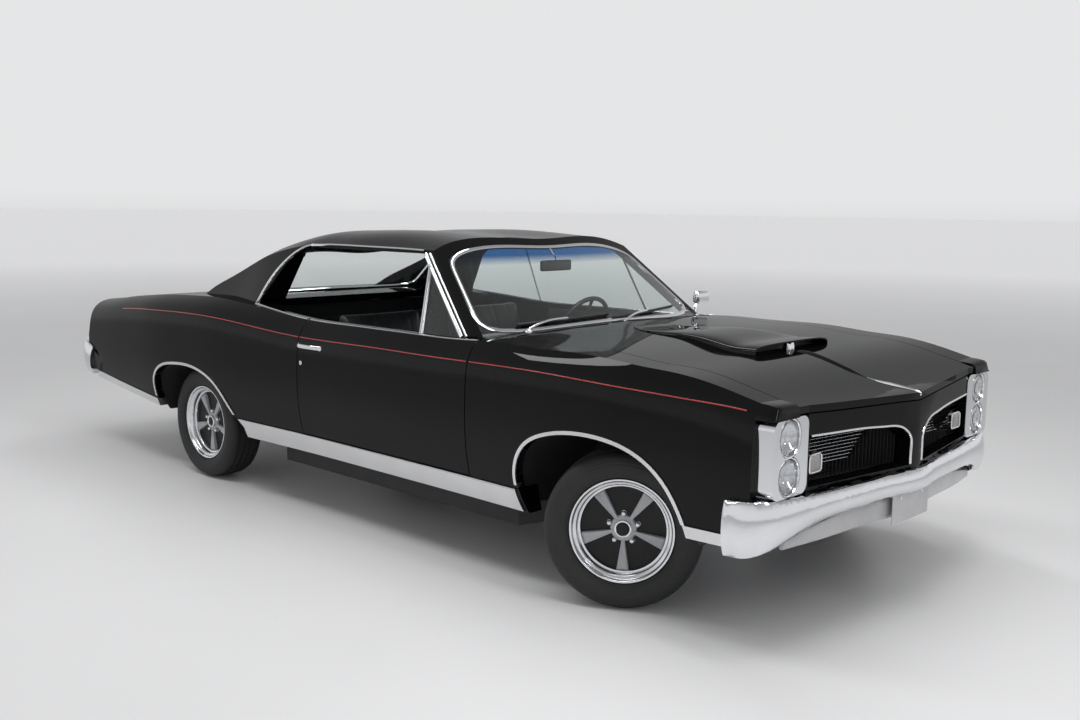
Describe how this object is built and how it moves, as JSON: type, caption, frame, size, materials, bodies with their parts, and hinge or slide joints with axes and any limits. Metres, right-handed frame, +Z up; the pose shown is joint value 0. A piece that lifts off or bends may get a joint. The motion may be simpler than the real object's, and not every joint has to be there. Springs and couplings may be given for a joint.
{
  "type": "two-door hardtop muscle car",
  "caption": "Full-size two-door hardtop car with a recessed rear window, stacked headlamps, split grille, opening doors, hood and trunk, steered and rolling wheels.",
  "frame": {"origin": "on the ground under the middle of the car's length and width", "axes": "+X forward, +Y to the car's left, +Z up"},
  "size_m": [5.248, 1.9354, 1.3898],
  "materials": {
    "paint": "gloss black enamel, clear and deep",
    "glass": "clear safety glass with a faint green tint",
    "bright_trim": "brushed bright anodised aluminium",
    "chrome": "polished chrome plate",
    "valance_silver": "satin silver paint",
    "grille_metal": "satin black with bright bar edges",
    "lamp_lens": "fluted clear glass over a bright reflector",
    "tail_lens": "red lens",
    "tyre": "black rubber, semi-matt",
    "wheel_silver": "satin silver with a polished ring",
    "chassis_black": "satin black paint",
    "engine_iron": "painted cast iron",
    "exhaust_steel": "dull steel",
    "seat_vinyl": "black vinyl",
    "dash_plastic": "grained black"
  },
  "bodies": {
    "root": {"fender_left": "paint", "fender_right": "paint", "cowl": "paint", "quarter_left": "paint", "quarter_right": "paint", "tail_panel": "paint", "roof_shell": "paint", "rear_deck": "paint", "nose_panel": "paint", "rocker_panels": "paint", "windshield": "glass", "backlight": "glass", "quarter_glass_left": "glass", "rocker_mouldings": "bright_trim", "arch_trim": "bright_trim", "headlamp_bezels": "chrome", "front_bumper": "chrome", "rear_bumper": "chrome", "front_valance": "valance_silver", "grille": "grille_metal", "headlamps": "lamp_lens", "tail_lamps": "tail_lens", "chassis_frame": "chassis_black", "front_suspension": "chassis_black", "rear_axle": "chassis_black", "driveline": "chassis_black", "fuel_tank": "chassis_black", "radiator": "chassis_black", "wheelhouses": "chassis_black", "floor_pan": "chassis_black", "firewall": "chassis_black", "engine_block": "engine_iron", "exhaust": "exhaust_steel", "front_seats": "seat_vinyl", "rear_seat": "seat_vinyl", "dashboard": "dash_plastic"},
    "door_left": {"door_left": "paint", "door_glass_left": "glass"},
    "door_right": {"door_right": "paint", "door_glass_right": "glass"},
    "hood": {"hood": "paint", "hood_scoop": "paint"},
    "trunk_lid": {"trunk_lid": "paint"},
    "steer_left": {"knuckle_left": "chassis_black"},
    "steer_right": {"knuckle_right": "chassis_black"},
    "front_wheel_left": {"front_tyre_left": "tyre", "front_rim_left": "wheel_silver"},
    "front_wheel_right": {"front_tyre_right": "tyre", "front_rim_right": "wheel_silver"},
    "rear_wheel_left": {"rear_tyre_left": "tyre", "rear_rim_left": "wheel_silver"},
    "rear_wheel_right": {"rear_tyre_right": "tyre", "rear_rim_right": "wheel_silver"},
    "steering_wheel": {"steering_wheel": "dash_plastic"}
  },
  "joints": [
    {"name": "door_left_hinge", "type": "hinge", "parent": "root", "child": "door_left", "pos_m": [1.066, 0.94, 0.6], "axis": [0, 0, -1], "range_deg": [0, 62]},
    {"name": "door_right_hinge", "type": "hinge", "parent": "root", "child": "door_right", "pos_m": [1.066, -0.94, 0.6], "axis": [0, 0, 1], "range_deg": [0, 62]},
    {"name": "hood_hinge", "type": "hinge", "parent": "root", "child": "hood", "pos_m": [1.121, 0, 1], "axis": [0, -1, 0], "range_deg": [0, 50]},
    {"name": "trunk_hinge", "type": "hinge", "parent": "root", "child": "trunk_lid", "pos_m": [-1.474, 0, 0.995], "axis": [0, 1, 0], "range_deg": [0, 70]},
    {"name": "steer_left_kingpin", "type": "hinge", "parent": "root", "child": "steer_left", "pos_m": [1.766, 0.7245, 0.306], "axis": [0, 0, 1], "range_deg": [-65, 5]},
    {"name": "steer_right_kingpin", "type": "hinge", "parent": "root", "child": "steer_right", "pos_m": [1.766, -0.7245, 0.306], "axis": [0, 0, 1], "range_deg": [-65, 5]},
    {"name": "front_wheel_left_spin", "type": "hinge", "parent": "steer_left", "child": "front_wheel_left", "pos_m": [1.75989, 0.73483, 0.306], "axis": [-0.509, 0.8607, 0], "continuous": true},
    {"name": "front_wheel_right_spin", "type": "hinge", "parent": "steer_right", "child": "front_wheel_right", "pos_m": [1.77211, -0.73483, 0.306], "axis": [-0.509, 0.8607, 0], "continuous": true},
    {"name": "rear_wheel_left_spin", "type": "hinge", "parent": "root", "child": "rear_wheel_left", "pos_m": [-1.155, 0.7495, 0.306], "axis": [0, 1, 0], "continuous": true},
    {"name": "rear_wheel_right_spin", "type": "hinge", "parent": "root", "child": "rear_wheel_right", "pos_m": [-1.155, -0.7495, 0.306], "axis": [0, 1, 0], "continuous": true},
    {"name": "steering_wheel_turn", "type": "hinge", "parent": "root", "child": "steering_wheel", "pos_m": [0.556, 0.37, 0.88], "axis": [-0.9135, 0, 0.4067], "range_deg": [-1110, 90]}
  ],
  "couplings": [
    {"joint": "steer_right_kingpin", "follows": "steer_left_kingpin", "ratio": 1},
    {"joint": "steering_wheel_turn", "follows": "steer_left_kingpin", "ratio": 17}
  ]
}
